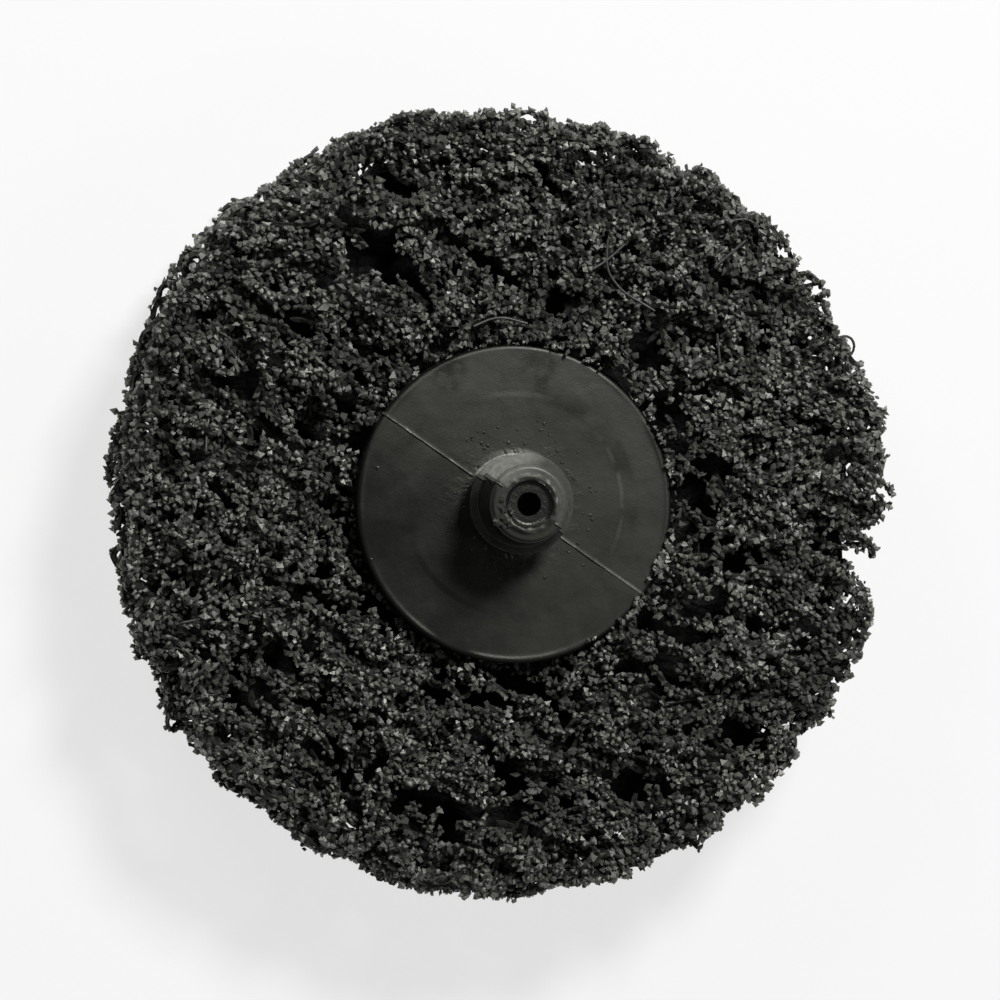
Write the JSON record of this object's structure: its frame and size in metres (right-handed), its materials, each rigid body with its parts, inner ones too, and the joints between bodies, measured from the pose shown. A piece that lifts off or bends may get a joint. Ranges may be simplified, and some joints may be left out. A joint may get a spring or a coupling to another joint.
{
  "type": "sanding disc",
  "caption": "Round strip-and-clean sanding disc: a thick black pad of open grit-coated web on a moulded plastic button with a coarse-threaded quick-change stem.",
  "frame": {"origin": "middle of the pad's working face, on the disc's axis, at the surface that the disc lies on", "axes": "+Z along the disc's axis, from the working face towards the stem; +X and +Y across the pad, with +Y towards the top of the picture"},
  "size_m": [0.0505, 0.0514, 0.0194],
  "materials": {
    "abrasive_web": "coarse black grit and resin crust on open nylon fibres, with small glints",
    "button_plastic": "satin dark grey moulding with a parting line and faint smudges"
  },
  "bodies": {
    "root": {"abrasive_web": "abrasive_web", "mounting_button": "button_plastic"}
  },
  "joints": []
}
